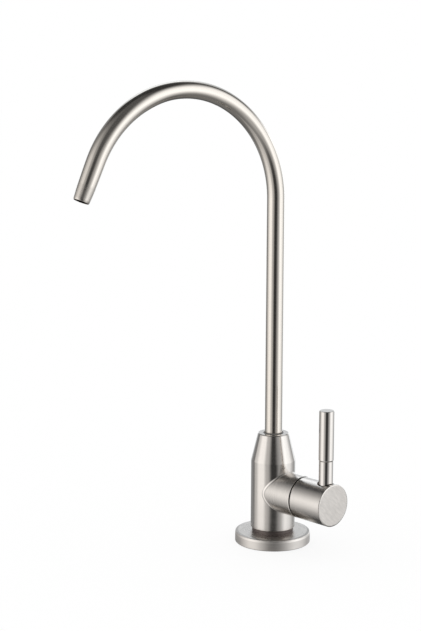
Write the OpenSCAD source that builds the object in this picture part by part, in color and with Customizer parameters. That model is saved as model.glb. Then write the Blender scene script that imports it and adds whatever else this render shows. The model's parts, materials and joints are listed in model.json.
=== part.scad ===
// Drinking water tap: swivel swan-neck spout, quarter-turn side handle, single-hole deck fixing.
// Millimetres. Origin at the middle of the foot plate's underside, +Z up, handle along +X.

/* [Base] */
// Diameter of the round foot plate
flange_d = 43.5; // [40:0.5:60]
// Thickness of the foot plate
flange_t = 6.5; // [5:0.5:7.5]
// Height of the dark ring between foot plate and body
foot_ring_h = 2.1; // [1:0.1:3]
// Thickness of the worktop that the fixing clamps
deck_t = 20; // [3:1:28]
// Diameter of the threaded shank
shank_d = 12; // [10:0.5:13]
// Diameter of the inlet thread at the shank's lower end
inlet_d = 11.1; // [9:0.1:11.6]
// Bore through the shank
shank_bore_d = 5.5; // [4:0.5:6]
// Length of the shank below the foot plate
shank_below = 52; // [52:1:80]

/* [Body] */
// Diameter of the body column
body_d = 25.5; // [25:0.5:32]
// Height at which the column turns into a cone
shoulder_z = 48.5; // [46:0.5:54]
// Height of the body's top rim
body_top_z = 64.5; // [62:0.5:80]
// Diameter of the top rim
rim_d = 18; // [16:0.5:22]
// Height of the handle's axis
handle_z = 31; // [29.5:0.5:33]
// Diameter of the branch and of the handle barrel
branch_d = 24; // [23.5:0.5:25]
// Distance of the branch's end from the body's axis
branch_end_x = 24; // [22:0.5:32]

/* [Spout] */
// Outside diameter of the spout tube
spout_d = 10; // [8:0.5:11]
// Wall of the spout tube
spout_wall = 1; // [0.6:0.1:1.4]
// Radius of the bend, to the tube's middle
bend_r = 61.5; // [40:0.5:90]
// Height at which the bend starts
bend_z = 199; // [120:1:260]
// Angle of the bend
bend_sweep = 156; // [120:1:180]
// Length of the straight tail, nose included
tail_len = 21.5; // [18:0.5:60]
// Turn of the spout from the front, away from the handle
spout_swing = 7.4; // [0:0.1:45]

/* [Handle] */
// Gap between branch and barrel
handle_gap = 0.9; // [0.4:0.1:1.2]
// Length of the handle barrel
barrel_len = 22.6; // [22:0.1:30]
// Distance of the lever's middle from the barrel's end
lever_inset = 6; // [5.5:0.1:6.5]
// Diameter of the lever's stem
stem_d = 8; // [7:0.25:8]
// Diameter of the lever's grip
grip_d = 8.5; // [8:0.25:12]
// Height of the lever's step above the handle's axis
step_h = 25; // [20:0.5:40]
// Height of the lever's top above the handle's axis
lever_h = 53.5; // [44:0.5:80]

/* [Fits] */
// Radial clearance of a turning fit
run_clear = 0.05; // [0.02:0.01:0.08]
// Radial clearance of a plain thread or a push-in fit
thread_clear = 0.1; // [0.05:0.05:0.2]
// Gap between flat faces that slide on each other
face_clear = 0.02; // [0.01:0.01:0.05]

/* [Hidden] */
$fn = 96;
steel = [0.72, 0.71, 0.69];
brass = [0.78, 0.62, 0.32];
rubber = [0.08, 0.08, 0.08];
ceramic = [0.93, 0.92, 0.88];
plastic = [0.16, 0.16, 0.17];
tiny = 0.5;

// Foot and shank
flange_r = flange_d / 2;
body_r = body_d / 2;
body_z = flange_t + foot_ring_h;
foot_chamfer = 0.5;
foot_ring_r = body_r - 0.9;
boss_r = body_r - 4;
boss_depth = 2;
boss_z = flange_t - boss_depth + 0.3;
shank_r = shank_d / 2;
shank_bore_r = shank_bore_d / 2;
inlet_r = inlet_d / 2;
inlet_len = 14;
shank_top_z = 19.5;
shank_hole_r = shank_r + thread_clear;
shank_ring_r = 0.9;
shank_groove_r = shank_r - 2 * shank_ring_r;
shank_groove_z = shank_top_z - 4;
// Shallow bevel round the foot plate's top, a broken corner and a steep bevel below it, and one at the foot
flange_bevel_w = 1.5;
flange_bevel_h = 0.28;
flange_break = 0.12;
flange_side_w = 0.25;
flange_side_h = 0.55;
flange_foot = 0.4;
gasket_in_r = flange_r - 6.5;
gasket_out_r = flange_r - 2.75;
gasket_t = 1.6;
rubber_washer_t = 2.5;
rubber_washer_w = 10;
steel_washer_w = 9;
washer_hole_r = shank_r + 0.2;
steel_washer_t = 1.5;
nut_t = 6;
nut_z = -deck_t - rubber_washer_t - steel_washer_t - nut_t;
nut_corner_r = (shank_r + 2.5) * 2 / sqrt(3);

// Spout socket and spigot
spout_r = spout_d / 2;
spout_bore_r = spout_r - spout_wall;
socket_r = spout_r + 0.7;
socket_depth = 22.5;
socket_z = body_top_z - socket_depth;
spigot_r = socket_r - run_clear;
spigot_z = socket_z + run_clear;
spigot_bore_r = spout_bore_r - 1.5;
tube_z = socket_z + 10;
spout_ring_r = 0.8;
spout_ring_mid_r = spigot_r - spout_ring_r - face_clear;
spout_groove_r = spout_ring_mid_r - spout_ring_r - face_clear;
spout_groove_w = 1.9;
spout_groove_z = [socket_z + 2, socket_z + 5.4];
snap_z = socket_z + 8.4;
snap_t = 0.8;
clip_opening = 40;
snap_in_r = spigot_r - 0.75;
snap_out_r = socket_r + 0.45;
bush_top_z = body_top_z + 0.4;
bush_h = 5.4;
bush_chamfer = 0.25;
mouth_chamfer = 0.3;
nose_len = 15;
// Bending draws the tube's wall in by this much, and the straight lengths lap the bend
bend_draw = 0.03;
bend_lap = 0.5;

// Cartridge, along the handle's axis
seat_x = 4;
seal_t = 2.5;
disc_t = 2.5;
carrier_t = 2.2;
washer_t = 0.5;
disc_r = 6.2;
disc_x = seat_x + seal_t;
moving_x = disc_x + disc_t + face_clear;
carrier_x = moving_x + disc_t;
washer_x = carrier_x + carrier_t + face_clear;
shoulder_x = washer_x + washer_t + face_clear;
nose_bore_r = disc_r + thread_clear;
nose_r = nose_bore_r + 0.6;
chamber_r = nose_r + 1.1;
housing_thread_r = chamber_r + 0.9;
housing_bore_r = housing_thread_r + thread_clear;
housing_flange_r = housing_bore_r + 1.2;
housing_flange_t = 1;
housing_gasket_t = 0.6;
housing_flange_x = branch_end_x + housing_gasket_t;
hex_x = housing_flange_x + housing_flange_t;
hex_t = 4.4;
hex_corner_r = housing_flange_r - 0.4;
housing_end_x = hex_x + hex_t;
spindle_r = 4;
spindle_bore_r = spindle_r + run_clear;
spindle_ring_r = 0.5;
spindle_ring_mid_r = spindle_r - spindle_ring_r;
spindle_groove_r = spindle_ring_mid_r - spindle_ring_r - face_clear;
spindle_groove_w = 1.3;
spindle_groove_x = [shoulder_x + 1.5, shoulder_x + 4];
circlip_x = housing_end_x + 0.1;
circlip_t = 0.8;
circlip_in_r = spindle_r - 0.7;
circlip_out_r = spindle_r + 1.5;
drive_w = 3.4;
drive_t = 0.9;
stop_r = nose_r - 0.05;
stop_width = 36;
stop_start = 182;
stop_margin = 1;
quarter = 90;
port_width = 76;
window_width = 80;

// Handle barrel and lever
branch_r = branch_d / 2;
barrel_x = branch_end_x + handle_gap;
barrel_end_x = barrel_x + barrel_len;
lever_x = barrel_end_x - lever_inset;
// Shallow bevels round the barrel's end face and beside the gap
face_bevel_w = 0.7;
face_bevel_h = 0.2;
face_break = 0.15;
gap_bevel_w = 0.5;
gap_bevel_h = 0.18;
cavity_r = housing_flange_r + 0.4;
cavity_end_x = circlip_x + circlip_t + 1;
bore_end_x = lever_x + 2.2;
spindle_end_x = bore_end_x - 0.2;
flat_h = 2.95;
stem_r = stem_d / 2;
stem_hole_r = stem_r + 0.8;
stem_floor_z = handle_z + branch_r - 2.6;
stud_r = 2.5;
stud_hole_r = stud_r + thread_clear / 2;
stud_len = 3.2;
grub_len = 3;
grip_r = grip_d / 2;
grip_edge = 0.5;
grip_foot_w = 0.25;
grip_foot_h = 0.5;
step_z = handle_z + step_h;
lever_top_z = handle_z + lever_h;
grip_bore_h = 14;

// Flat ring on the Z axis, standing on z = 0
module ring(out_r, in_r, h) {
  rotate_extrude() translate([in_r, 0]) square([out_r - in_r, h]);
}

// Round-section ring on the Z axis
module o_ring(mid_r, cord_r) {
  rotate_extrude() translate([mid_r, 0]) circle(r = cord_r);
}

// Sector of a ring on the Z axis, standing on z = 0
module sector(out_r, in_r, h, from, width) {
  rotate([0, 0, from]) rotate_extrude(angle = width) translate([in_r, 0]) square([out_r - in_r, h]);
}

// Open spring ring on the Z axis, standing on z = 0
module clip(out_r, in_r, h) {
  sector(out_r, in_r, h, clip_opening / 2, 360 - clip_opening);
}

// Puts a piece drawn on the Z axis onto the handle's axis, its z = 0 at the given x
module on_handle_axis(x) {
  translate([x, 0, handle_z]) rotate([0, 90, 0]) children();
}

// Turns a piece drawn with the spout towards +X to the spout's own direction
module to_spout() {
  rotate([0, 0, -90 - spout_swing]) children();
}

// Hexagon prism whose corners are turned off at both ends
module hexagon(corner_r, h) {
  flat_r = corner_r * sqrt(3) / 2;
  intersection() {
    cylinder(r = corner_r, h = h, $fn = 6);
    rotate_extrude() polygon([
      [0, 0], [flat_r, 0], [corner_r + tiny, 1], [corner_r + tiny, h - 1], [flat_r, h], [0, h]
    ]);
  }
}

module valve_body() {
  color(steel) difference() {
    union() {
      rotate_extrude() polygon([
        [0, boss_z], [boss_r, boss_z], [boss_r, body_z], [body_r - foot_chamfer, body_z],
        [body_r, body_z + foot_chamfer], [body_r, shoulder_z], [rim_d / 2, body_top_z - 0.5],
        [rim_d / 2 - 0.4, body_top_z], [0, body_top_z]
      ]);
      on_handle_axis(0) rotate_extrude() polygon([
        [0, 0], [branch_r, 0], [branch_r, branch_end_x - gap_bevel_w],
        [branch_r - gap_bevel_h, branch_end_x], [0, branch_end_x]
      ]);
    }
    // Shank thread, inlet passage and port to the valve seat
    translate([0, 0, boss_z - tiny]) cylinder(r = shank_hole_r, h = shank_top_z - boss_z + tiny);
    translate([0, 0, shank_top_z - tiny]) cylinder(r = 2.5, h = handle_z + 1 - shank_top_z + tiny);
    on_handle_axis(0) cylinder(r = 2.5, h = seat_x + tiny);
    // Valve chamber and housing thread
    on_handle_axis(seat_x) cylinder(r = chamber_r, h = shoulder_x - seat_x);
    on_handle_axis(shoulder_x - 0.25) cylinder(r = housing_bore_r, h = branch_end_x - shoulder_x + 0.25 + tiny);
    // Outlet passage, spout socket, snap ring groove and mouth chamfer
    translate([seat_x, 0, handle_z + 6.5]) cylinder(r = 1.6, h = socket_z - handle_z - 6.5 + tiny);
    translate([0, 0, socket_z]) cylinder(r = socket_r, h = body_top_z - socket_z + tiny);
    translate([0, 0, snap_z - 0.15]) cylinder(r = snap_out_r + 0.15, h = snap_t + 0.3);
    translate([0, 0, body_top_z - mouth_chamfer])
      cylinder(r1 = socket_r, r2 = socket_r + 2 * mouth_chamfer, h = 2 * mouth_chamfer);
  }
}

module base_flange() {
  side_z = flange_t - flange_bevel_h - flange_break;
  color(steel) difference() {
    rotate_extrude() polygon([
      [0, 0], [flange_r - flange_foot, 0], [flange_r, flange_foot], [flange_r, side_z - flange_side_h],
      [flange_r - flange_side_w, side_z], [flange_r - flange_side_w - flange_break, side_z + flange_break],
      [flange_r - flange_bevel_w, flange_t], [0, flange_t]
    ]);
    translate([0, 0, -tiny]) cylinder(r = shank_r + 0.3, h = flange_t + 2 * tiny);
    translate([0, 0, flange_t - boss_depth]) cylinder(r = boss_r + thread_clear, h = boss_depth + tiny);
    translate([0, 0, -tiny]) ring(gasket_out_r, gasket_in_r, gasket_t + tiny);
  }
}

module foot_ring() {
  color(rubber) translate([0, 0, flange_t]) ring(foot_ring_r, boss_r + thread_clear, foot_ring_h);
}

module flange_gasket() {
  color(rubber) ring(gasket_out_r - thread_clear, gasket_in_r + thread_clear, gasket_t);
}

module threaded_shank() {
  low_z = -shank_below;
  color(steel) rotate_extrude() polygon([
    [shank_bore_r, low_z], [inlet_r - 0.6, low_z], [inlet_r, low_z + 0.6], [inlet_r, low_z + inlet_len],
    [shank_r, low_z + inlet_len], [shank_r, shank_groove_z], [shank_groove_r, shank_groove_z],
    [shank_groove_r, shank_groove_z + 2.2 * shank_ring_r], [shank_r, shank_groove_z + 2.2 * shank_ring_r],
    [shank_r, shank_top_z], [shank_bore_r, shank_top_z]
  ]);
}

module shank_o_ring() {
  color(rubber) translate([0, 0, shank_groove_z + 1.1 * shank_ring_r])
    o_ring(shank_groove_r + shank_ring_r + face_clear, shank_ring_r);
}

module clamp_rubber_washer() {
  color(rubber) translate([0, 0, -deck_t - rubber_washer_t])
    ring(shank_r + rubber_washer_w, washer_hole_r, rubber_washer_t);
}

module clamp_steel_washer() {
  color(steel) translate([0, 0, nut_z + nut_t]) ring(shank_r + steel_washer_w, washer_hole_r, steel_washer_t);
}

module lock_nut() {
  color(brass) translate([0, 0, nut_z]) difference() {
    hexagon(nut_corner_r, nut_t);
    translate([0, 0, -tiny]) cylinder(r = shank_r + thread_clear, h = nut_t + 2 * tiny);
  }
}

module swivel_bush() {
  bush_r = socket_r - face_clear;
  bush_bore_r = spout_r + run_clear;
  color(plastic) translate([0, 0, bush_top_z - bush_h]) rotate_extrude() polygon([
    [bush_bore_r, 0], [bush_r, 0], [bush_r, bush_h - bush_chamfer],
    [bush_r - bush_chamfer, bush_h], [bush_bore_r, bush_h]
  ]);
}

module spout_tube() {
  end_turn = 180 - bend_sweep;
  color(steel) to_spout() {
    translate([0, 0, tube_z]) ring(spout_r, spout_bore_r, bend_z - tube_z + bend_lap);
    translate([bend_r, 0, bend_z]) rotate([90, 0, 0]) rotate([0, 0, end_turn])
      rotate_extrude(angle = bend_sweep) translate([bend_r, 0]) difference() {
        circle(r = spout_r - bend_draw);
        circle(r = spout_bore_r + bend_draw);
      }
    translate([bend_r + bend_r * cos(end_turn), 0, bend_z + bend_r * sin(end_turn)]) rotate([0, bend_sweep, 0])
      outlet_tail();
  }
}

// The straight tail, its end swaged in towards a rounded lip
module outlet_tail() {
  nose = [[0, 0], [0.28, 8], [0.55, 12.5], [0.7, 14.3], [0.95, nose_len]];
  nose_z = tail_len - nose_len;
  outer = [for (s = nose) [spout_r - s[0], nose_z + s[1]]];
  inner = [for (i = [len(nose) - 1 : -1 : 0]) [spout_bore_r - min(nose[i][0], 0.7), nose_z + nose[i][1]]];
  rotate_extrude() polygon(concat([[spout_bore_r, -bend_lap], [spout_r, -bend_lap]], outer, inner));
}

module spout_spigot() {
  grooves = [for (z = spout_groove_z) each [
    [spigot_r, z], [spout_groove_r, z], [spout_groove_r, z + spout_groove_w], [spigot_r, z + spout_groove_w]
  ]];
  color(brass) rotate_extrude() polygon(concat(
    [[spigot_bore_r, spigot_z], [spigot_r, spigot_z]], grooves,
    [[spigot_r, snap_z - 0.05], [snap_in_r - 0.05, snap_z - 0.05], [snap_in_r - 0.05, snap_z + snap_t + 0.05],
     [spigot_r, snap_z + snap_t + 0.05], [spigot_r, tube_z], [spout_bore_r - face_clear, tube_z],
     [spout_bore_r - face_clear, tube_z + 6], [spigot_bore_r, tube_z + 6]]
  ));
}

module spout_o_rings() {
  color(rubber) for (z = spout_groove_z)
    translate([0, 0, z + spout_groove_w / 2]) o_ring(spout_ring_mid_r, spout_ring_r);
}

module spout_snap_ring() {
  color(steel) translate([0, 0, snap_z]) to_spout() clip(snap_out_r, snap_in_r, snap_t);
}

module cartridge_housing() {
  color(brass) on_handle_axis(0) difference() {
    union() {
      translate([0, 0, seat_x + 0.8]) cylinder(r = nose_r, h = shoulder_x - seat_x - 0.8);
      translate([0, 0, shoulder_x]) cylinder(r = housing_thread_r, h = housing_flange_x - shoulder_x);
      translate([0, 0, housing_flange_x]) cylinder(r = housing_flange_r, h = housing_flange_t);
      translate([0, 0, hex_x]) hexagon(hex_corner_r, hex_t);
    }
    translate([0, 0, seat_x]) cylinder(r = nose_bore_r, h = shoulder_x - seat_x);
    translate([0, 0, seat_x]) cylinder(r = spindle_bore_r, h = housing_end_x - seat_x + tiny);
    // Two outlet windows and the slot that stops the handle at each end of its quarter turn
    for (turn = [90, 270])
      translate([0, 0, moving_x + 0.1])
        sector(nose_r + tiny, nose_bore_r - tiny, disc_t - 0.3, turn - window_width / 2, window_width);
    translate([0, 0, carrier_x + 0.1]) sector(nose_r + tiny, nose_bore_r - tiny, carrier_t - 0.2,
      stop_start - stop_margin, stop_width + quarter + 2 * stop_margin);
  }
}

module housing_gasket() {
  color(rubber) on_handle_axis(branch_end_x) ring(housing_flange_r, housing_bore_r, housing_gasket_t);
}

module seat_seal() {
  color(rubber) on_handle_axis(seat_x) ring(disc_r, 3, seal_t);
}

module fixed_disc() {
  color(ceramic) on_handle_axis(disc_x) difference() {
    cylinder(r = disc_r, h = disc_t);
    for (turn = [90, 270])
      translate([0, 0, -tiny]) sector(5.2, 2.2, disc_t + 2 * tiny, turn - port_width / 2, port_width);
  }
}

module moving_disc() {
  color(ceramic) on_handle_axis(moving_x) difference() {
    cylinder(r = disc_r - 0.1, h = disc_t);
    for (turn = [0, 180])
      translate([0, 0, -tiny]) sector(disc_r + 1, 2.2, disc_t + 2 * tiny, turn - port_width / 2, port_width);
    translate([-drive_w / 2 - 0.05, -disc_r, disc_t - drive_t - 0.1]) cube([drive_w + 0.1, 2 * disc_r, disc_t]);
  }
}

module spindle() {
  grooves = [for (x = spindle_groove_x) each [
    [spindle_r, x], [spindle_groove_r, x],
    [spindle_groove_r, x + spindle_groove_w], [spindle_r, x + spindle_groove_w]
  ]];
  color(brass) on_handle_axis(0) {
    difference() {
      rotate_extrude() polygon(concat(
        [[0, carrier_x], [disc_r - 0.1, carrier_x], [disc_r - 0.1, carrier_x + carrier_t],
         [spindle_r, carrier_x + carrier_t]], grooves,
        [[spindle_r, circlip_x - 0.05], [circlip_in_r - 0.05, circlip_x - 0.05],
         [circlip_in_r - 0.05, circlip_x + circlip_t + 0.05], [spindle_r, circlip_x + circlip_t + 0.05],
         [spindle_r, spindle_end_x - 0.4], [spindle_r - 0.4, spindle_end_x], [0, spindle_end_x]]
      ));
      // Flat for the grub screw
      translate([-spindle_r - flat_h, -spindle_r - tiny, cavity_end_x])
        cube([spindle_r, 2 * spindle_r + 2 * tiny, spindle_end_x - cavity_end_x + tiny]);
    }
    // Drive bar for the moving disc
    translate([-drive_w / 2, -disc_r + 1.2, carrier_x - drive_t])
      cube([drive_w, 2 * disc_r - 2.4, drive_t + 0.3]);
    // Stop lug
    translate([0, 0, carrier_x + 0.3]) sector(stop_r, disc_r - 1, carrier_t - 0.6, stop_start, stop_width);
  }
}

module spindle_o_rings() {
  color(rubber) for (x = spindle_groove_x)
    on_handle_axis(x + spindle_groove_w / 2) o_ring(spindle_ring_mid_r, spindle_ring_r);
}

module spindle_circlip() {
  color(steel) on_handle_axis(circlip_x) clip(circlip_out_r, circlip_in_r, circlip_t);
}

module thrust_washer() {
  color([0.95, 0.95, 0.95]) on_handle_axis(washer_x) ring(disc_r - 0.1, spindle_bore_r, washer_t);
}

module handle_barrel() {
  color(steel) difference() {
    on_handle_axis(barrel_x) rotate_extrude() polygon([
      [0, 0], [branch_r - gap_bevel_h, 0], [branch_r, gap_bevel_w],
      [branch_r, barrel_len - face_bevel_h - face_break], [branch_r - face_break, barrel_len - face_bevel_h],
      [branch_r - face_bevel_w, barrel_len], [0, barrel_len]
    ]);
    on_handle_axis(barrel_x - tiny) cylinder(r = cavity_r, h = cavity_end_x - barrel_x + tiny);
    on_handle_axis(cavity_end_x - tiny) cylinder(r = spindle_bore_r, h = bore_end_x - cavity_end_x + tiny);
    translate([lever_x, 0, handle_z]) cylinder(r = stud_hole_r, h = branch_r);
    translate([lever_x, 0, stem_floor_z]) cylinder(r = stem_hole_r, h = branch_r);
  }
}

module handle_grub_screw() {
  color(plastic) translate([lever_x, 0, handle_z + flat_h]) difference() {
    cylinder(r = stud_r, h = grub_len);
    translate([0, 0, grub_len - 1.4]) cylinder(r = 1.45, h = 2, $fn = 6);
  }
}

module lever_stem() {
  color(steel) translate([lever_x, 0, 0]) rotate_extrude() polygon([
    [0, stem_floor_z - stud_len], [stud_r, stem_floor_z - stud_len], [stud_r, stem_floor_z],
    [stem_r, stem_floor_z], [stem_r, step_z - 0.25], [stem_r - 0.25, step_z], [stud_r, step_z],
    [stud_r, step_z + grip_bore_h - 0.5], [0, step_z + grip_bore_h - 0.5]
  ]);
}

module lever_grip() {
  grip_h = lever_top_z - step_z;
  color(steel) translate([lever_x, 0, step_z]) difference() {
    rotate_extrude() {
      polygon([
        [0, 0], [grip_r - grip_foot_w, 0], [grip_r, grip_foot_h], [grip_r, grip_h - grip_edge],
        [grip_r - grip_edge, grip_h - grip_edge], [grip_r - grip_edge, grip_h], [0, grip_h]
      ]);
      translate([grip_r - grip_edge, grip_h - grip_edge]) circle(r = grip_edge);
    }
    translate([0, 0, -tiny]) cylinder(r = stud_hole_r, h = grip_bore_h + tiny);
  }
}

valve_body();
base_flange();
foot_ring();
flange_gasket();
threaded_shank();
shank_o_ring();
clamp_rubber_washer();
clamp_steel_washer();
lock_nut();
swivel_bush();
spout_tube();
spout_spigot();
spout_o_rings();
spout_snap_ring();
cartridge_housing();
housing_gasket();
seat_seal();
fixed_disc();
moving_disc();
spindle();
spindle_o_rings();
spindle_circlip();
thrust_washer();
handle_barrel();
handle_grub_screw();
lever_stem();
lever_grip();
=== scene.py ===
import json
import math

import bmesh
import bpy
import numpy as np
from mathutils import Matrix, Vector


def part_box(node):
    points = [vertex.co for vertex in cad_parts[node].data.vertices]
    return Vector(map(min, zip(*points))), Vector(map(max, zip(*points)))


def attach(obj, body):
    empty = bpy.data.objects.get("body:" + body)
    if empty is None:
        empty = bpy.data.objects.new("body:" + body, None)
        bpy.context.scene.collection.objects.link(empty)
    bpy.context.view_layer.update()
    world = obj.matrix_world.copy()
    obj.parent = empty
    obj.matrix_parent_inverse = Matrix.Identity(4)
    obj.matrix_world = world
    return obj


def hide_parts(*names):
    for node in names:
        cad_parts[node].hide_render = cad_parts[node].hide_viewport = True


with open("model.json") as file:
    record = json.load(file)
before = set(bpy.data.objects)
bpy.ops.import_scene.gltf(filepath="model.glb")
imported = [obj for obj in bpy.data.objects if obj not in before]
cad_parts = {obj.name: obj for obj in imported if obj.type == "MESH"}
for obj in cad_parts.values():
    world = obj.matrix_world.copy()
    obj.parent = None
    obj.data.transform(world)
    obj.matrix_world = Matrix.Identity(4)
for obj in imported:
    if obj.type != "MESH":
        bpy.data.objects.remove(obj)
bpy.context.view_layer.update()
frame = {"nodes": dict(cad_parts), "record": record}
print("stage: frame loaded")

# Studio: white to the camera; what shines mirrors soft panels that stand in a dark room.
# turn is degrees from the camera's side, positive to its right, rise is degrees above the horizon, wide and
# tall are half sizes, soft and riseSoft half the widths of the blurred edges, and cool leans to blue
studio = {
    "cameraSide": -45.2,
    "roomLevel": 0.038,
    "softLevel": 1.0,
    "panels": {
        "leftBox": {"turn": -78.5, "wide": 34.5, "soft": 9, "rise": 1, "tall": 30, "riseSoft": 40,
                    "level": 0.83, "cool": -0.012},
        "leftGlow": {"turn": -53, "wide": 35, "soft": 11, "rise": -12, "tall": 54, "riseSoft": 40,
                     "level": 0.53, "cool": -0.012},
        "frontHigh": {"turn": 0, "wide": 70, "soft": 25, "rise": 62, "tall": 40, "riseSoft": 10,
                      "level": 0.06, "cool": 0.0},
        "leftHigh": {"turn": -26, "wide": 15, "soft": 8, "rise": 13, "tall": 8, "riseSoft": 7,
                     "level": 0.08, "cool": -0.012},
        "rightHigh": {"turn": 27, "wide": 13, "soft": 8, "rise": 13, "tall": 8, "riseSoft": 7,
                      "level": 0.1, "cool": 0.0},
        "rightWall": {"turn": 49, "wide": 25, "soft": 12, "rise": -15, "tall": 36, "riseSoft": 17,
                      "level": 0.37, "cool": 0.0},
        "rightBox": {"turn": 85, "wide": 30, "soft": 22, "rise": 9, "tall": 34, "riseSoft": 20,
                     "level": 1.31, "cool": 0.015},
        "rearLeft": {"turn": -135, "wide": 15, "soft": 10, "rise": 3, "tall": 40, "riseSoft": 4,
                     "level": 0.26, "cool": 0.02},
        "rearSide": {"turn": 137, "wide": 20, "soft": 12, "rise": -8, "tall": 26, "riseSoft": 12,
                     "level": 0.3, "cool": 0.02},
        "rearRight": {"turn": 176, "wide": 27, "soft": 24, "rise": -2, "tall": 11, "riseSoft": 9,
                      "level": 0.8, "cool": 0.03},
        "rearBand": {"turn": 134, "wide": 9, "soft": 8, "rise": 10, "tall": 5, "riseSoft": 9,
                     "level": 1.8, "cool": 0.03},
        "rearBox": {"turn": 176, "wide": 33, "soft": 6, "rise": 17, "tall": 31, "riseSoft": 15,
                    "level": 0.6, "cool": 0.045},
        "rearHigh": {"turn": -173, "wide": 20, "soft": 8, "rise": 36, "tall": 7, "riseSoft": 12,
                     "level": 1.18, "cool": 0.045},
        "frontLow": {"turn": 0, "wide": 40, "soft": 20, "rise": -50, "tall": 14, "riseSoft": 12,
                     "level": 0.12, "cool": 0.0},
        "rightLow": {"turn": 80, "wide": 20, "soft": 14, "rise": -38, "tall": 12, "riseSoft": 14,
                     "level": 0.2, "cool": 0.0},
        "floor": {"turn": 0, "wide": 200, "soft": 10, "rise": -90, "tall": 50, "riseSoft": 30,
                  "level": 0.18, "cool": 0.0},
    },
}


def newNode(tree, kind, **settings):
    made = tree.nodes.new(kind)
    for name, value in settings.items():
        setattr(made, name, value)
    return made


# A number or a socket goes into a node's input
def feed(tree, socket, value):
    if isinstance(value, (int, float, tuple)):
        socket.default_value = value
    else:
        tree.links.new(value, socket)


def calc(tree, operation, *values):
    made = newNode(tree, "ShaderNodeMath", operation=operation)
    for socket, value in zip(made.inputs, values):
        feed(tree, socket, value)
    return made.outputs[0]


def smoothStep(tree, value, low, high, start=0.0, end=1.0):
    made = newNode(tree, "ShaderNodeMapRange", interpolation_type="SMOOTHSTEP")
    for name, number in (("From Min", low), ("From Max", high), ("To Min", start), ("To Max", end)):
        made.inputs[name].default_value = number
    tree.links.new(value, made.inputs["Value"])
    return made.outputs["Result"]


# How much of a direction points towards a turn on the horizon
def towards(tree, direction, turn):
    made = newNode(tree, "ShaderNodeVectorMath", operation="DOT_PRODUCT")
    tree.links.new(direction, made.inputs[0])
    angle = math.radians(studio["cameraSide"] + turn)
    made.inputs[1].default_value = (math.cos(angle), math.sin(angle), 0)
    return made.outputs["Value"]


def panelLight(tree, direction, rise, panel):
    front = towards(tree, direction, panel["turn"])
    side = towards(tree, direction, panel["turn"] + 90)
    turned = calc(tree, "ABSOLUTE", calc(tree, "ARCTAN2", side, front))
    raised = calc(tree, "ABSOLUTE", calc(tree, "SUBTRACT", rise, math.radians(panel["rise"])))
    across = smoothStep(tree, turned, math.radians(panel["wide"] - panel["soft"]),
                        math.radians(panel["wide"] + panel["soft"]), 1.0, 0.0)
    upright = smoothStep(tree, raised, math.radians(panel["tall"] - panel["riseSoft"]),
                         math.radians(panel["tall"] + panel["riseSoft"]), 1.0, 0.0)
    return calc(tree, "MULTIPLY", calc(tree, "MULTIPLY", across, upright), panel["level"])


def makeWorld():
    world = bpy.data.worlds.new("studioWorld")
    bpy.context.scene.world = world
    world.use_nodes = True
    tree = world.node_tree
    tree.nodes.clear()
    direction = newNode(tree, "ShaderNodeTexCoord").outputs["Generated"]
    parts = newNode(tree, "ShaderNodeSeparateXYZ")
    tree.links.new(direction, parts.inputs[0])
    rise = calc(tree, "ARCSINE", parts.outputs["Z"])
    total, shift = studio["roomLevel"], 0.0
    for panel in studio["panels"].values():
        light = panelLight(tree, direction, rise, panel)
        total = calc(tree, "ADD", light, total)
        shift = calc(tree, "ADD", calc(tree, "MULTIPLY", light, panel["cool"]), shift)
    rays = newNode(tree, "ShaderNodeLightPath")
    mirrored = calc(tree, "MAXIMUM", rays.outputs["Is Glossy Ray"], rays.outputs["Is Transmission Ray"])
    plain = calc(tree, "MULTIPLY", calc(tree, "SUBTRACT", 1.0, mirrored), studio["softLevel"])
    tint = newNode(tree, "ShaderNodeCombineColor")
    levels = {"Red": calc(tree, "SUBTRACT", total, shift), "Green": total,
              "Blue": calc(tree, "ADD", total, shift)}
    for name, level in levels.items():
        feed(tree, tint.inputs[name], calc(tree, "ADD", calc(tree, "MULTIPLY", mirrored, level), plain))
    background = newNode(tree, "ShaderNodeBackground")
    background.inputs["Strength"].default_value = 1.0
    tree.links.new(tint.outputs["Color"], background.inputs["Color"])
    tree.links.new(background.outputs[0], newNode(tree, "ShaderNodeOutputWorld").inputs["Surface"])


makeWorld()

# The floor's glow and its lit colour add up to white, and only the lit part takes the shadow
floorLook = {"halfWidth": 6.0, "below": 0.0001, "colour": 0.15, "glow": 0.85}


def makeFloor():
    half = floorLook["halfWidth"]
    mesh = bpy.data.meshes.new("floor")
    level = -floorLook["below"]  # a hair under the foot plate, whose underside is at zero
    corners = [(-half, -half, level), (half, -half, level), (half, half, level), (-half, half, level)]
    mesh.from_pydata(corners, [], [(0, 1, 2, 3)])
    floor = bpy.data.objects.new("floor", mesh)
    bpy.context.collection.objects.link(floor)
    material = bpy.data.materials.new("floorWhite")
    material.use_nodes = True
    shader = material.node_tree.nodes["Principled BSDF"]
    shade = floorLook["colour"]
    shader.inputs["Base Color"].default_value = (shade, shade, shade, 1)
    shader.inputs["Roughness"].default_value = 1.0
    shader.inputs["Specular IOR Level"].default_value = 0.0
    shader.inputs["Emission Color"].default_value = (1, 1, 1, 1)
    shader.inputs["Emission Strength"].default_value = floorLook["glow"]
    mesh.materials.append(material)
    floor.visible_glossy = False


makeFloor()
print("stage: studio")

# Camera that sees the tap as the photo does
cameraLook = {
    "place": (0.605343, -0.610729, 0.275804),
    "ahead": (-0.723485, 0.670487, -0.164365),
    "roll": 0.1644,
    "lens": 87.316,
    "sensor": 36,
    "nearest": 0.01,
}


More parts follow.
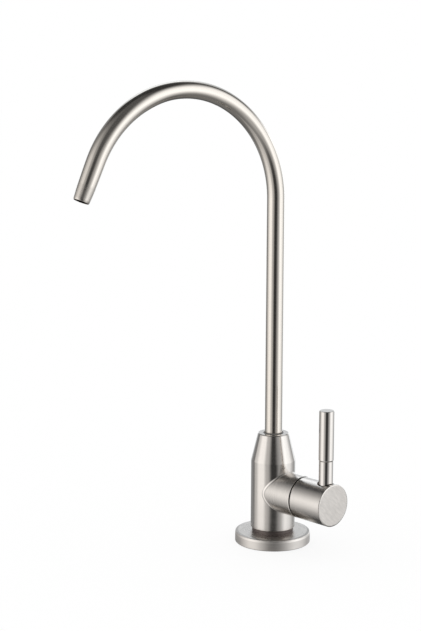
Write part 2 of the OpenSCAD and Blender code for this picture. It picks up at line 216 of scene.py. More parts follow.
def makeCamera():
    data = bpy.data.cameras.new("photoCamera")
    data.lens = cameraLook["lens"]
    data.sensor_width = cameraLook["sensor"]
    data.clip_start = cameraLook["nearest"]
    camera = bpy.data.objects.new("photoCamera", data)
    bpy.context.collection.objects.link(camera)
    turn = Vector(cameraLook["ahead"]).to_track_quat("-Z", "Y").to_matrix().to_4x4()
    roll = Matrix.Rotation(math.radians(cameraLook["roll"]), 4, "Z")
    camera.matrix_world = Matrix.Translation(cameraLook["place"]) @ turn @ roll
    bpy.context.scene.camera = camera


makeCamera()
bpy.context.scene.view_settings.view_transform = "Standard"

# Finishes: grain is how many polishing lines cross a metre and depth how deep they are in metres; zones are
# places of another roughness or tone on the same piece, some of whose tones are painted shade or painted
# light, and breaks is how often lines break off in a metre, plainBreaks where none is named
steelColour = (0.70, 0.666, 0.63)
plainBreaks = 60
looks = {
    "columnSteel": {
        "colour": steelColour, "roughness": 0.15, "grain": 2600, "depth": 0.8e-6,
        "turned": "column",
        "zones": {
            # Matter towards the foot, and painted 3% darker there as shade of the shadowed floor that the
            # low column mirrors
            "foot": {"roughness": 0.24, "tone": 0.97, "streak": 0.06},
            "branch": {"roughness": 0.25, "tone": 1.0, "streak": 0.06},
            # The branch's end face in the gap before the barrel, painted dark as shade in the gap
            "gap": {"roughness": 0.5, "tone": 0.2, "streak": 0.0},
        },
    },
    "tubeSteel": {
        "colour": (0.712, 0.667, 0.612), "roughness": 0.13, "grain": 1800, "depth": 0.6e-6,
        "turned": "tube",
        "zones": {
            "nose": {"roughness": 0.31, "tone": 0.96, "streak": 0.1},
            # The bore, painted near black as shade inside the tube
            "shadedBore": {"roughness": 0.6, "tone": 0.02, "streak": 0.0},
        },
    },
    "barrelSteel": {
        "colour": steelColour, "roughness": 0.21, "grain": 1300, "depth": 2.2e-6,
        "turned": "barrel",
        "zones": {
            "endFace": {"roughness": 0.42, "tone": 0.95, "streak": 0.45, "breaks": 260},
            # The barrel's face in the gap behind it, painted dark as shade in the gap
            "gap": {"roughness": 0.5, "tone": 0.2, "streak": 0.0},
        },
    },
    "flangeSteel": {
        "colour": steelColour, "roughness": 0.42, "grain": 1300, "depth": 2.0e-6,
        "turned": "flange",
        "zones": {
            "top": {"roughness": 0.29, "tone": 0.88, "streak": 0.25, "breaks": 200},
            # The sloping shoulder is painted darker as shade
            "shadedShoulder": {"roughness": 0.3, "tone": 0.62, "streak": 0.2},
            # The rolled edge is painted paler as a highlight, standing in for the floor's light on it
            "edge": {"roughness": 0.42, "tone": 1.2, "streak": 0.1},
        },
    },
    "leverSteel": {
        "colour": (0.74, 0.705, 0.67), "roughness": 0.06, "grain": 2600, "depth": 0.3e-6,
        "turned": "lever",
    },
    "ringSteel": {
        "colour": (0.225, 0.192, 0.182), "roughness": 0.55, "grain": 2600, "depth": 1e-6,
        "turned": "upright",
    },
    "plainSteel": {
        "colour": (0.62, 0.61, 0.60), "roughness": 0.3, "grain": 1500, "depth": 2e-6,
        "turned": "upright",
    },
    "darkSteel": {
        "colour": (0.09, 0.09, 0.09), "roughness": 0.4, "grain": 1500, "depth": 2e-6,
        "turned": "upright",
    },
    "turnedBrass": {
        "colour": (0.80, 0.62, 0.33), "roughness": 0.26, "grain": 2000, "depth": 2e-6,
        "turned": "upright",
    },
}
softLooks = {
    "blackRubber": {"colour": (0.025, 0.025, 0.026), "paler": (0.04, 0.04, 0.041),
                    "roughness": 0.6, "grain": 900},
    "blackPlastic": {"colour": (0.022, 0.021, 0.021), "paler": (0.03, 0.029, 0.029),
                     "roughness": 0.45, "grain": 1400},
    "greyPlastic": {"colour": (0.13, 0.125, 0.12), "paler": (0.16, 0.155, 0.15),
                    "roughness": 0.45, "grain": 1400},
    "whitePlastic": {"colour": (0.85, 0.85, 0.84), "paler": (0.88, 0.88, 0.87),
                     "roughness": 0.4, "grain": 1400},
    "firedCeramic": {"colour": (0.86, 0.84, 0.79), "paler": (0.89, 0.87, 0.83),
                     "roughness": 0.15, "grain": 2500},
}
# Wear of the metals: lines and broader clouds sway the roughness between smoother and rougher times its
# value, and the lines alone sway the tone between darker and paler
wearLook = {
    "lineDetail": 2.0,
    "cloudDetail": 3.0,
    "cloudBreaks": 90,
    "cloudLines": 120,
    "quiet": 0.25,
    "busy": 0.75,
    "smoother": 0.8,
    "rougher": 1.2,
    "darker": 0.96,
    "paler": 1.04,
}
# Wear of the soft materials, whose roughness sways by so much to each side
softWear = {"detail": 3.0, "quiet": 0.3, "busy": 0.7, "sway": 0.06, "bump": 0.4, "depth": 0.00001}
# Slant of the scratches across the barrel's end face and how much coarser they are than its turned lines
faceLook = {"slant": 50, "coarser": 0.8}
# How far back from the lip the swaged nose is matter than the tube, and the share from which its wall
# counts as bore, which is painted near black as shade
noseLook = {"from": 0.0095, "full": 0.0075, "bore": 0.3}
# Heights between which the column turns matter, and is painted a little darker as shade, towards its foot
footLook = {"from": 0.032, "full": 0.018}
# The branch counts from this share of the column's radius on, and out to this many of its own radii
branchLook = {"from": 0.3, "reach": 1.002}
# How far the foot plate's sloping shoulder, painted darker as shade, and its edge, painted paler as a
# highlight, reach down from the top
plateLook = {"shadedShoulder": 0.00026, "edge": 0.0017}
hair = 1e-5  # tells a flat end from what lies beside it


# How far a point lies out from the turning axis plus how far along it, which counts polishing lines
# on round walls and on flat ends alike
def turnedRun(tree, place, axis, centre=(0, 0, 0)):
    moved = newNode(tree, "ShaderNodeVectorMath", operation="SUBTRACT")
    tree.links.new(place, moved.inputs[0])
    moved.inputs[1].default_value = centre
    parts = newNode(tree, "ShaderNodeSeparateXYZ")
    tree.links.new(moved.outputs[0], parts.inputs[0])
    across = [calc(tree, "POWER", parts.outputs[name], 2) for name in "XYZ" if name != axis]
    out = calc(tree, "SQRT", calc(tree, "ADD", *across))
    return calc(tree, "ADD", out, parts.outputs[axis]), out, parts.outputs


# One where a value is over a limit, else zero
def over(tree, value, limit):
    return calc(tree, "GREATER_THAN", value, limit)


def mixed(tree, share, first, second):
    rest = calc(tree, "MULTIPLY", calc(tree, "SUBTRACT", 1.0, share), first)
    return calc(tree, "ADD", calc(tree, "MULTIPLY", share, second), rest)


# The distance that counts polishing lines, and the shares of each zone
def grainRun(tree, look):
    place = newNode(tree, "ShaderNodeTexCoord").outputs["Object"]
    if look["turned"] == "tube":
        brush = newNode(tree, "ShaderNodeAttribute", attribute_name="brush")
        parts = newNode(tree, "ShaderNodeSeparateXYZ")
        tree.links.new(brush.outputs["Vector"], parts.inputs[0])
        nose = smoothStep(tree, parts.outputs["X"], -noseLook["from"], -noseLook["full"])
        # The bore, painted near black as shade
        shadedBore = over(tree, parts.outputs["Y"], noseLook["bore"])
        return place, parts.outputs["X"], {"nose": nose, "shadedBore": shadedBore}
    if look["turned"] == "upright":
        return place, turnedRun(tree, place, "Z")[0], {}
    if look["turned"] == "flange":
        run, _, parts = turnedRun(tree, place, "Z")
        top = over(tree, parts["Z"], flangeTop - hair)
        # Shares of the flat top, of the shoulder painted darker as shade and of the edge painted paler as a
        # highlight
        sloping = over(tree, parts["Z"], flangeTop - plateLook["shadedShoulder"])
        shadedShoulder = calc(tree, "SUBTRACT", sloping, top)
        edge = calc(tree, "SUBTRACT", over(tree, parts["Z"], flangeTop - plateLook["edge"]), sloping)
        return place, run, {"top": top, "shadedShoulder": shadedShoulder, "edge": edge}
    if look["turned"] == "lever":
        return place, turnedRun(tree, place, "Z", (leverSide, 0, 0))[0], {}
    # Round the handle's axis on branch and barrel, round the upright axis on the column
    run, out, parts = turnedRun(tree, place, "X", (0, 0, handleHeight))
    if look["turned"] == "column":
        upright = turnedRun(tree, place, "Z")[0]
        near = calc(tree, "LESS_THAN", out, branchRadius * branchLook["reach"])
        branch = calc(tree, "MULTIPLY", near, over(tree, parts["X"], columnRadius * branchLook["from"]))
        # The branch's end in the gap, painted dark as shade
        gap = over(tree, parts["X"], branchEnd - hair)
        # Towards the foot: matter, and painted a little darker as shade
        foot = smoothStep(tree, parts["Z"], footLook["full"] - handleHeight,
                          footLook["from"] - handleHeight, 1.0, 0.0)
        return place, mixed(tree, branch, upright, run), {"foot": foot, "branch": branch, "gap": gap}
    slant = math.radians(faceLook["slant"])
    straight = calc(tree, "ADD", calc(tree, "MULTIPLY", parts["Y"], math.cos(slant)),
                    calc(tree, "MULTIPLY", parts["Z"], math.sin(slant)))
    endFace = over(tree, parts["X"], barrelEnd - hair)
    # The barrel's face in the gap, painted dark as shade
    gap = calc(tree, "LESS_THAN", parts["X"], barrelStart + hair)
    run = mixed(tree, endFace, run, calc(tree, "MULTIPLY", straight, faceLook["coarser"]))
    return place, run, {"endFace": endFace, "gap": gap}


def grainNoise(tree, place, slow, run, detail):
    spread = newNode(tree, "ShaderNodeVectorMath", operation="SCALE")
    tree.links.new(place, spread.inputs[0])
    feed(tree, spread.inputs["Scale"], slow)
    noise = newNode(tree, "ShaderNodeTexNoise", noise_dimensions="4D")
    noise.inputs["Scale"].default_value = 1.0
    noise.inputs["Detail"].default_value = detail
    tree.links.new(spread.outputs[0], noise.inputs["Vector"])
    tree.links.new(run, noise.inputs["W"])
    return noise.outputs["Fac"]


def polishedMetal(name):
    look = looks[name]
    material = bpy.data.materials.new(name)
    material.use_nodes = True
    tree = material.node_tree
    shader = tree.nodes["Principled BSDF"]
    shader.inputs["Metallic"].default_value = 1.0
    place, run, masks = grainRun(tree, look)
    breaks = plainBreaks
    for zone, mask in masks.items():
        breaks = mixed(tree, mask, breaks, look["zones"][zone].get("breaks", plainBreaks))
    lineRun = calc(tree, "MULTIPLY", run, look["grain"])
    lines = grainNoise(tree, place, breaks, lineRun, wearLook["lineDetail"])
    cloudRun = calc(tree, "MULTIPLY", run, wearLook["cloudLines"])
    cloud = grainNoise(tree, place, wearLook["cloudBreaks"], cloudRun, wearLook["cloudDetail"])
    bump = newNode(tree, "ShaderNodeBump")
    bump.inputs["Strength"].default_value = 1.0
    bump.inputs["Distance"].default_value = look["depth"]
    tree.links.new(lines, bump.inputs["Height"])
    tree.links.new(bump.outputs[0], shader.inputs["Normal"])
    wear = calc(tree, "ADD", calc(tree, "MULTIPLY", lines, 0.5), calc(tree, "MULTIPLY", cloud, 0.5))
    sway = smoothStep(tree, wear, wearLook["quiet"], wearLook["busy"],
                      wearLook["smoother"], wearLook["rougher"])
    level, shade = look["roughness"], 1.0
    for zone, mask in masks.items():
        zoneLook = look["zones"][zone]
        streaks = calc(tree, "MULTIPLY", calc(tree, "SUBTRACT", lines, 0.5), zoneLook["streak"])
        level = mixed(tree, mask, level, zoneLook["roughness"])
        zoneShade = calc(tree, "MULTIPLY", calc(tree, "ADD", streaks, 1.0), zoneLook["tone"])
        shade = mixed(tree, mask, shade, zoneShade)
    tree.links.new(calc(tree, "MULTIPLY", sway, level), shader.inputs["Roughness"])
    tone = newNode(tree, "ShaderNodeMix", data_type="RGBA")
    tree.links.new(lines, tone.inputs["Factor"])
    tone.inputs["A"].default_value = (*(wearLook["darker"] * part for part in look["colour"]), 1)
    tone.inputs["B"].default_value = (*(min(wearLook["paler"] * part, 1) for part in look["colour"]), 1)
    shaded = newNode(tree, "ShaderNodeVectorMath", operation="SCALE")
    tree.links.new(tone.outputs["Result"], shaded.inputs[0])
    feed(tree, shaded.inputs["Scale"], shade)
    tree.links.new(shaded.outputs[0], shader.inputs["Base Color"])
    return material


def softMaterial(name):
    look = softLooks[name]
    material = bpy.data.materials.new(name)
    material.use_nodes = True
    tree = material.node_tree
    shader = tree.nodes["Principled BSDF"]
    noise = newNode(tree, "ShaderNodeTexNoise")
    noise.inputs["Scale"].default_value = look["grain"]
    noise.inputs["Detail"].default_value = softWear["detail"]
    tree.links.new(newNode(tree, "ShaderNodeTexCoord").outputs["Object"], noise.inputs["Vector"])
    tone = newNode(tree, "ShaderNodeMix", data_type="RGBA")
    tree.links.new(noise.outputs["Fac"], tone.inputs["Factor"])
    tone.inputs["A"].default_value = (*look["colour"], 1)
    tone.inputs["B"].default_value = (*look["paler"], 1)
    tree.links.new(tone.outputs["Result"], shader.inputs["Base Color"])
    bump = newNode(tree, "ShaderNodeBump")
    bump.inputs["Strength"].default_value = softWear["bump"]
    bump.inputs["Distance"].default_value = softWear["depth"]
    tree.links.new(noise.outputs["Fac"], bump.inputs["Height"])
    tree.links.new(bump.outputs[0], shader.inputs["Normal"])
    rough, sway = look["roughness"], softWear["sway"]
    swayed = smoothStep(tree, noise.outputs["Fac"], softWear["quiet"], softWear["busy"],
                        rough - sway, rough + sway)
    tree.links.new(swayed, shader.inputs["Roughness"])
    return material


# Sizes that the finishes and the new pieces take from the frame
lowStem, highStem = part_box("lever_stem")
leverSide = (lowStem[0] + highStem[0]) / 2
lowBarrel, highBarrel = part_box("handle_barrel")
branchRadius = (highBarrel[2] - lowBarrel[2]) / 2
handleHeight = (highBarrel[2] + lowBarrel[2]) / 2
barrelStart, barrelEnd = lowBarrel[0], highBarrel[0]
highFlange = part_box("base_flange")[1]
flangeRadius, flangeTop = highFlange[0], highFlange[2]
lowBody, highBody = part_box("valve_body")
columnRadius = -lowBody[0]
branchEnd = highBody[0]

materials = {name: polishedMetal(name) for name in looks}
materials.update({name: softMaterial(name) for name in softLooks})
slotLooks = {"steel": "leverSteel", "plain_steel": "plainSteel", "dark_steel": "darkSteel",
             "brass": "turnedBrass", "rubber": "blackRubber", "plastic": "blackPlastic",
             "white_plastic": "whitePlastic", "ceramic": "firedCeramic"}
nodeLooks = {"valve_body": "columnSteel", "handle_barrel": "barrelSteel", "base_flange": "flangeSteel",
             "foot_ring": "ringSteel", "swivel_bush": "greyPlastic"}
slotOf = {part["node"]: part["material_slot"] for part in frame["record"]["subparts"]}
for name, node in frame["nodes"].items():
    node.data.materials.clear()
    node.data.materials.append(materials[nodeLooks.get(name, slotLooks[slotOf[name]])])
print("stage: materials")

mergeGap = 1e-6  # points nearer than this are one
sharpAngle = 40  # degrees from which an edge isn't smoothed


# Runs a node tree on an empty mesh and keeps the result as a plain, closed mesh
def nodesPiece(name, tree, sizes):
    holder = bpy.data.objects.new(name, bpy.data.meshes.new(name))
    bpy.context.collection.objects.link(holder)
    modifier = holder.modifiers.new("shape", "NODES")
    modifier.node_group = tree
    for item in tree.interface.items_tree:
        if item.item_type == "SOCKET" and item.in_out == "INPUT":
            modifier[item.identifier] = sizes[item.name]
    shaped = holder.evaluated_get(bpy.context.evaluated_depsgraph_get())
    mesh = bpy.data.meshes.new_from_object(shaped)
    holder.modifiers.remove(modifier)
    mesh.name = name
    holder.data = mesh
    closeMesh(mesh)
    return holder


def closeMesh(mesh):
    shell = bmesh.new()
    shell.from_mesh(mesh)
    bmesh.ops.remove_doubles(shell, verts=shell.verts, dist=mergeGap)
    bmesh.ops.recalc_face_normals(shell, faces=shell.faces)
    openEdges = sum(1 for edge in shell.edges if not edge.is_manifold)
    print("piece:", mesh.name, len(shell.faces), "faces,", openEdges, "open edges,",
          round(shell.calc_volume(signed=True) * 1e9, 1), "mm3")
    shell.to_mesh(mesh)
    shell.free()
    mesh.set_sharp_from_angle(angle=math.radians(sharpAngle))


def newTree(name, sizes):
    tree = bpy.data.node_groups.new(name, "GeometryNodeTree")
    tree.interface.new_socket("Geometry", in_out="OUTPUT", socket_type="NodeSocketGeometry")
    for size in sizes:
        tree.interface.new_socket(size, in_out="INPUT", socket_type="NodeSocketFloat")
    return tree, newNode(tree, "NodeGroupInput").outputs


# A flat grid whose two sides run from 0 to 1
def unitGrid(tree, around, rows):
    grid = newNode(tree, "GeometryNodeMeshGrid")
    for name, value in (("Size X", 1.0), ("Size Y", 1.0), ("Vertices X", around + 1), ("Vertices Y", rows)):
        grid.inputs[name].default_value = value
    parts = newNode(tree, "ShaderNodeSeparateXYZ")
    tree.links.new(newNode(tree, "GeometryNodeInputPosition").outputs[0], parts.inputs[0])
    across = calc(tree, "ADD", parts.outputs["X"], 0.5)
    along = calc(tree, "ADD", parts.outputs["Y"], 0.5)
    return grid.outputs["Mesh"], across, along


# The value at a share of the way from start to end
def between(tree, start, end, share):
    return calc(tree, "ADD", start, calc(tree, "MULTIPLY", calc(tree, "SUBTRACT", end, start), share))


# Puts the grid's points in place; brush keeps how far along each lies and whether it is on the inside,
# whose bore is painted dark as shade
def placedGrid(tree, mesh, x, y, z, brush=None):
    if brush is not None:
        stored = newNode(tree, "GeometryNodeStoreNamedAttribute", data_type="FLOAT_VECTOR", domain="POINT")
        stored.inputs["Name"].default_value = "brush"
        lines = newNode(tree, "ShaderNodeCombineXYZ")
        for name, value in zip("XY", brush):
            feed(tree, lines.inputs[name], value)
        tree.links.new(mesh, stored.inputs["Geometry"])
        tree.links.new(lines.outputs[0], stored.inputs["Value"])
        mesh = stored.outputs["Geometry"]
    place = newNode(tree, "ShaderNodeCombineXYZ")
    for name, value in zip("XYZ", (x, y, z)):
        feed(tree, place.inputs[name], value)
    moved = newNode(tree, "GeometryNodeSetPosition")
    tree.links.new(mesh, moved.inputs["Geometry"])
    tree.links.new(place.outputs[0], moved.inputs["Position"])
    return moved.outputs["Geometry"]


def finishTree(tree, strips, material):
    joined = newNode(tree, "GeometryNodeJoinGeometry")
    for strip in strips:
        tree.links.new(strip, joined.inputs[0])
    merged = newNode(tree, "GeometryNodeMergeByDistance")
    merged.inputs["Distance"].default_value = mergeGap
    smooth = newNode(tree, "GeometryNodeSetShadeSmooth")
    realized = newNode(tree, "GeometryNodeRealizeInstances")
    painted = newNode(tree, "GeometryNodeSetMaterial")
    painted.inputs["Material"].default_value = material
    last = joined
    for step in (merged, smooth, realized, painted):
        tree.links.new(last.outputs[0], step.inputs["Geometry"])
        last = step
    tree.links.new(last.outputs[0], newNode(tree, "NodeGroupOutput").inputs[0])


# Swan neck: a drawn tube, flattened a little where it bends, fuller in its tail and swaged in towards its
# lip; swellTurn is where on the bend the fullness begins and is complete
swanNeck = {
    "sizes": {
        "Tube Radius": 0.005,
        "Wall": 0.001,
        "Lip Wall": 0.0004,
        "Lip Bevel": 0.0006,
        "Lip Slope": 0.25,
        "Foot Height": 0.052,
        "Bend Start": 0.199,
        "Bend Radius": 0.0615,
        "Bend Sweep": math.radians(156),
        "Tail Length": 0.022,
        "Nose Draw": 0.00095,
        "Nose Fade": 0.0105,
        "Bend Flattening": 0.03,
        "Bend Spread": 0.03,
        "Tail Swell": 0.056,
        "Swing": math.radians(7.4),
    },
    "swellTurn": (math.radians(98), math.radians(116)),
    "around": 72,
    "rows": 200,
    "lipRows": 11,
}


def swanNeckTree():
    tree, size = newTree("swanNeckTube", swanNeck["sizes"])
    riser = calc(tree, "SUBTRACT", size["Bend Start"], size["Foot Height"])
    bendLength = calc(tree, "MULTIPLY", size["Bend Radius"], size["Bend Sweep"])
    tailStart = calc(tree, "ADD", riser, bendLength)
    lip = calc(tree, "ADD", tailStart, size["Tail Length"])
    lipInset = calc(tree, "MULTIPLY", size["Lip Bevel"], size["Lip Slope"])
    lipRound = calc(tree, "MULTIPLY", calc(tree, "SUBTRACT", size["Lip Wall"], lipInset), 0.5)
    lipStart = calc(tree, "SUBTRACT", lip, lipRound)
    bevelStart = calc(tree, "SUBTRACT", lipStart, size["Lip Bevel"])
    bevelHold = calc(tree, "SUBTRACT", bevelStart, size["Lip Bevel"])

    def strip(rows, start, end, bulge, startInset, endInset, shadedBore=0.0):
        mesh, u, v = unitGrid(tree, swanNeck["around"], rows)
        halfTurn = calc(tree, "MULTIPLY", v, math.pi)
        bulged = calc(tree, "MULTIPLY", bulge, calc(tree, "SINE", halfTurn))
        along = calc(tree, "ADD", between(tree, start, end, v), bulged)
        ease = calc(tree, "MULTIPLY", calc(tree, "SUBTRACT", 1.0, calc(tree, "COSINE", halfTurn)), 0.5)
        inset = between(tree, startInset, endInset, ease)
        # Middle of the tube: up the riser, round the bend, down the tail
        turned = calc(tree, "DIVIDE", calc(tree, "SUBTRACT", along, riser), size["Bend Radius"])
        turned = calc(tree, "MINIMUM", calc(tree, "MAXIMUM", turned, 0.0), size["Bend Sweep"])
        past = calc(tree, "MAXIMUM", calc(tree, "SUBTRACT", along, tailStart), 0.0)
        sine, cosine = calc(tree, "SINE", turned), calc(tree, "COSINE", turned)
        bent = calc(tree, "MULTIPLY", size["Bend Radius"], calc(tree, "SUBTRACT", 1.0, cosine))
        forward = calc(tree, "ADD", bent, calc(tree, "MULTIPLY", past, sine))
        height = calc(tree, "ADD", size["Foot Height"], calc(tree, "MINIMUM", along, riser))
        height = calc(tree, "ADD", height, calc(tree, "MULTIPLY", size["Bend Radius"], sine))
        height = calc(tree, "ADD", height, calc(tree, "MULTIPLY", past, cosine))
        # Section: swaged nose, and an oval that is fullest halfway round the bend
        back = calc(tree, "DIVIDE", calc(tree, "SUBTRACT", along, lip), size["Nose Fade"])
        drawn = calc(tree, "MULTIPLY", size["Nose Draw"], calc(tree, "EXPONENT", back))
        swell = calc(tree, "MULTIPLY", size["Tail Swell"], smoothStep(tree, turned, *swanNeck["swellTurn"]))
        full = calc(tree, "MULTIPLY", size["Tube Radius"], calc(tree, "ADD", 1.0, swell))
        radius = calc(tree, "SUBTRACT", calc(tree, "SUBTRACT", full, drawn), inset)
        sweepShare = calc(tree, "DIVIDE", turned, size["Bend Sweep"])
        oval = calc(tree, "SINE", calc(tree, "MULTIPLY", sweepShare, math.pi))
        flat = calc(tree, "SUBTRACT", 1.0, calc(tree, "MULTIPLY", size["Bend Flattening"], oval))
        spread = calc(tree, "ADD", 1.0, calc(tree, "MULTIPLY", size["Bend Spread"], oval))
        angle = calc(tree, "MULTIPLY", u, 2 * math.pi)
        outward = calc(tree, "MULTIPLY", calc(tree, "MULTIPLY", radius, flat), calc(tree, "COSINE", angle))
        aside = calc(tree, "MULTIPLY", calc(tree, "MULTIPLY", radius, spread), calc(tree, "SINE", angle))
        forward = calc(tree, "SUBTRACT", forward, calc(tree, "MULTIPLY", cosine, outward))
        height = calc(tree, "ADD", height, calc(tree, "MULTIPLY", sine, outward))
        swingSine, swingCosine = calc(tree, "SINE", size["Swing"]), calc(tree, "COSINE", size["Swing"])
        x = calc(tree, "SUBTRACT", calc(tree, "MULTIPLY", aside, swingCosine),
                 calc(tree, "MULTIPLY", forward, swingSine))
        y = calc(tree, "ADD", calc(tree, "MULTIPLY", aside, swingSine),
                 calc(tree, "MULTIPLY", forward, swingCosine))
        return placedGrid(tree, mesh, x, calc(tree, "MULTIPLY", y, -1.0), height,
                          (calc(tree, "SUBTRACT", along, lip), shadedBore))

    rows, wall, lipWall = swanNeck["rows"], size["Wall"], size["Lip Wall"]
    strips = [strip(rows, 0.0, bevelHold, 0.0, 0.0, 0.0),
              strip(2, bevelHold, bevelStart, 0.0, 0.0, 0.0),
              strip(2, bevelStart, lipStart, 0.0, 0.0, lipInset),
              strip(swanNeck["lipRows"], lipStart, lipStart, lipRound, lipInset, lipWall),
              strip(rows, lipStart, 0.0, 0.0, lipWall, wall, 1.0),
              strip(2, 0.0, 0.0, 0.0, wall, 0.0)]
    finishTree(tree, strips, materials["tubeSteel"])
    return tree


swanNeckTube = nodesPiece("swanNeckTube", swanNeckTree(), swanNeck["sizes"])
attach(swanNeckTube, "spout")
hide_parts("spout_tube")
print("stage: swan neck")

# Shank with two rolled threads: crest and root are where across a ridge its flat crest ends and its flat
# root begins, runOut is the share of a thread over which it fades at each end, and liftTurns are whole
# turns that keep the count of turns above zero
rolledShank = {
    "sizes": {
        "Bore Radius": 0.00275,
        "Inlet Radius": 0.00555,
        "Inlet Pitch": 0.00106,
        "Shank Radius": 0.006,
        "Shank Pitch": 0.001,
        "Groove Radius": 0.0042,
        "Thread Depth": 0.00045,
        "End Chamfer": 0.0006,
        "Low End": -0.052,
        "Inlet Top": -0.038,
        "Thread Top": 0.004,
        "Groove Low": 0.0155,
        "Groove High": 0.01748,
        "Top End": 0.0195,
    },
    "crest": 0.12,
    "root": 0.88,
    "runOut": 0.03,
    "liftTurns": 100.0,
    "around": 64,
    "rowsPerTurn": 9,
}


def shankTree():
    tree, size = newTree("shankThreads", rolledShank["sizes"])
    chamfered = calc(tree, "SUBTRACT", size["Inlet Radius"], size["End Chamfer"])
    chamferTop = calc(tree, "ADD", size["Low End"], size["End Chamfer"])

    def strip(startRadius, startHeight, endRadius, endHeight, rows=2, pitch=None):
        mesh, u, v = unitGrid(tree, rolledShank["around"], rows)
        radius = between(tree, startRadius, endRadius, v)
        height = between(tree, startHeight, endHeight, v)
        if pitch is not None:
            # A right-hand ridge whose crest and root are flat, running out at both ends
            turns = calc(tree, "SUBTRACT", calc(tree, "DIVIDE", height, pitch), u)
            turns = calc(tree, "FRACT", calc(tree, "ADD", turns, rolledShank["liftTurns"]))
            ridge = calc(tree, "ABSOLUTE", calc(tree, "SUBTRACT", calc(tree, "MULTIPLY", turns, 2.0), 1.0))
            cut = smoothStep(tree, ridge, rolledShank["crest"], rolledShank["root"])
            begins = smoothStep(tree, v, 0.0, rolledShank["runOut"])
            ends = smoothStep(tree, v, 1.0 - rolledShank["runOut"], 1.0, 1.0, 0.0)
            fade = calc(tree, "MULTIPLY", begins, ends)
            depth = calc(tree, "MULTIPLY", calc(tree, "MULTIPLY", size["Thread Depth"], cut), fade)
            radius = calc(tree, "SUBTRACT", radius, depth)
        angle = calc(tree, "MULTIPLY", u, 2 * math.pi)
        x = calc(tree, "MULTIPLY", radius, calc(tree, "COSINE", angle))
        y = calc(tree, "MULTIPLY", radius, calc(tree, "SINE", angle))
        return placedGrid(tree, mesh, x, y, height)

    def threadRows(low, high, pitch):
        sizes = rolledShank["sizes"]
        return round((sizes[high] - sizes[low]) / sizes[pitch] * rolledShank["rowsPerTurn"])

    inlet, shank = size["Inlet Radius"], size["Shank Radius"]
    groove, bore = size["Groove Radius"], size["Bore Radius"]
    inletRows = threadRows("Low End", "Inlet Top", "Inlet Pitch")
    shankRows = threadRows("Inlet Top", "Thread Top", "Shank Pitch")
    outline = [
        (bore, size["Top End"]), (bore, size["Low End"]), (chamfered, size["Low End"]), (inlet, chamferTop),
        (inlet, size["Inlet Top"], inletRows, size["Inlet Pitch"]),
        (shank, size["Inlet Top"]),
        (shank, size["Thread Top"], shankRows, size["Shank Pitch"]),
        (shank, size["Groove Low"]), (groove, size["Groove Low"]), (groove, size["Groove High"]),
        (shank, size["Groove High"]), (shank, size["Top End"]), (bore, size["Top End"]),
    ]
    strips = [strip(*before[:2], *after) for before, after in zip(outline, outline[1:])]
    finishTree(tree, strips, materials["plainSteel"])
    return tree


shankThreads = nodesPiece("shankThreads", shankTree(), rolledShank["sizes"])
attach(shankThreads, "tap_body")
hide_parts("threaded_shank")
print("stage: shank threads")


# A closed piece through rings of as many points each, the last ring joined to the first
def ringedPiece(name, rings, material):
    count, wide = len(rings), len(rings[0])
    faces = []
    for ring in range(count):
        here, there = ring * wide, (ring + 1) % count * wide
        for spot in range(wide):
            beside = (spot + 1) % wide
            faces.append((here + spot, here + beside, there + beside, there + spot))
    mesh = bpy.data.meshes.new(name)
    mesh.from_pydata(np.concatenate(rings).tolist(), [], faces)
    mesh.shade_smooth()
    closeMesh(mesh)
    mesh.materials.append(materials[material])
    piece = bpy.data.objects.new(name, mesh)
    bpy.context.collection.objects.link(piece)
    return piece


# Foot plate with a rolled rim: from the flat top outwards its edge is drawn in straight runs of a length
# and round turns of a radius, which end at a slope in degrees below level
footPlate = {
    "edge": [("turn", 0.0006, 10), ("run", 0.0011), ("turn", 0.00055, 80), ("run", 0.00095),
             ("turn", 0.0005, 90)],
    "turnSteps": 6,
    "lead": 0.0001,
    "foot": 0.0004,
    "gasketRadii": (0.019, 0.01525),
    "gasketDepth": 0.0016,
    "bore": 0.0063,
    "bossRadius": 0.00885,
    "bossDepth": 0.002,
    "around": 180,
}


# Points of the rim's edge, each as how far out and how far down it lies from the end of the flat top; the
# first lies on the flat, so that smooth shading doesn't spread over it
def rimEdge():
    points = [(-footPlate["lead"], 0.0), (0.0, 0.0)]
    slope = 0.0
    for kind, size, *end in footPlate["edge"]:
        out, down = points[-1]
        if kind == "run":
            points.append((out + size * math.cos(slope), down + size * math.sin(slope)))
            continue
        for angle in np.linspace(slope, math.radians(end[0]), footPlate["turnSteps"] + 1)[1:]:
            points.append((out + size * (math.sin(angle) - math.sin(slope)),
                           down + size * (math.cos(slope) - math.cos(angle))))
        slope = math.radians(end[0])
    return points


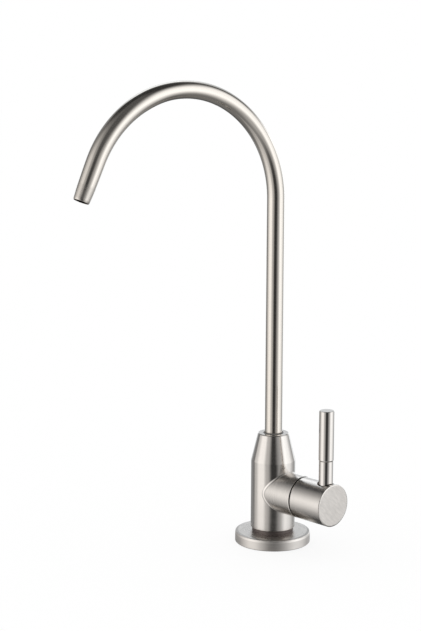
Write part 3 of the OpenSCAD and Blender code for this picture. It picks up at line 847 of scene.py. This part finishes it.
def makeFootPlate():
    edge = rimEdge()
    flat = flangeRadius - edge[-1][0]
    foot, bore, boss = footPlate["foot"], footPlate["bore"], footPlate["bossRadius"]
    outer, inner = footPlate["gasketRadii"]
    depth, seat = footPlate["gasketDepth"], flangeTop - footPlate["bossDepth"]
    outline = [(boss, flangeTop)] + [(flat + out, flangeTop - down) for out, down in edge]
    outline += [(flangeRadius, foot), (flangeRadius - foot, 0), (outer, 0), (outer, depth), (inner, depth),
                (inner, 0), (bore, 0), (bore, seat), (boss, seat)]
    turn = np.linspace(0, 2 * np.pi, footPlate["around"], endpoint=False)
    rings = [np.stack([radius * np.cos(turn), radius * np.sin(turn), np.full_like(turn, height)], -1)
             for radius, height in outline]
    plate = ringedPiece("footPlate", rings, "flangeSteel")
    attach(plate, "tap_body")
    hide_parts("base_flange")


makeFootPlate()
print("stage: foot plate")

# Low polished bead along the joint of branch and column; its feet are sunk into both. It is fullest at the
# branch's sides and thins to the share named least at its top and bottom; sooner is the power that makes it
# thin faster below
branchBead = {
    "width": 0.002,
    "height": 0.00016,
    "least": 0.15,
    "sooner": 3,
    "sunk": 0.00006,
    "root": 0.0008,
    "along": 180,
    "across": 9,
}


def makeBranchBead():
    turn = np.linspace(0, 2 * np.pi, branchBead["along"], endpoint=False)
    nothing = np.zeros_like(turn)
    y, z = branchRadius * np.sin(turn), branchRadius * np.cos(turn)
    x = np.sqrt(columnRadius ** 2 - y ** 2)
    path = np.stack([x, y, handleHeight + z], -1)
    offColumn = np.stack([x, y, nothing], -1) / columnRadius
    offBranch = np.stack([nothing, y, z], -1) / branchRadius
    ahead = np.stack([-y * z / x, z, -y], -1)
    ahead /= np.linalg.norm(ahead, axis=-1, keepdims=True)
    outward = offColumn + offBranch
    outward /= np.linalg.norm(outward, axis=-1, keepdims=True)
    sides = np.abs(np.sin(turn)) ** np.where(z < 0, branchBead["sooner"], 1)
    full = branchBead["least"] + (1 - branchBead["least"]) * sides[:, None]
    half, sunk = full * branchBead["width"] / 2, branchBead["sunk"]
    columnFoot = path + half * np.cross(offColumn, ahead) - sunk * offColumn
    branchFoot = path + half * np.cross(ahead, offBranch) - sunk * offBranch
    rings = [path - branchBead["root"] * outward]
    for share in np.linspace(0, 1, branchBead["across"]):
        bulge = (full * branchBead["height"] + sunk) * 4 * share * (1 - share)
        rings.append((1 - share) * columnFoot + share * branchFoot + bulge * outward)
    bead = ringedPiece("branchBead", rings, "leverSteel")
    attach(bead, "tap_body")


makeBranchBead()
print("stage: branch bead")
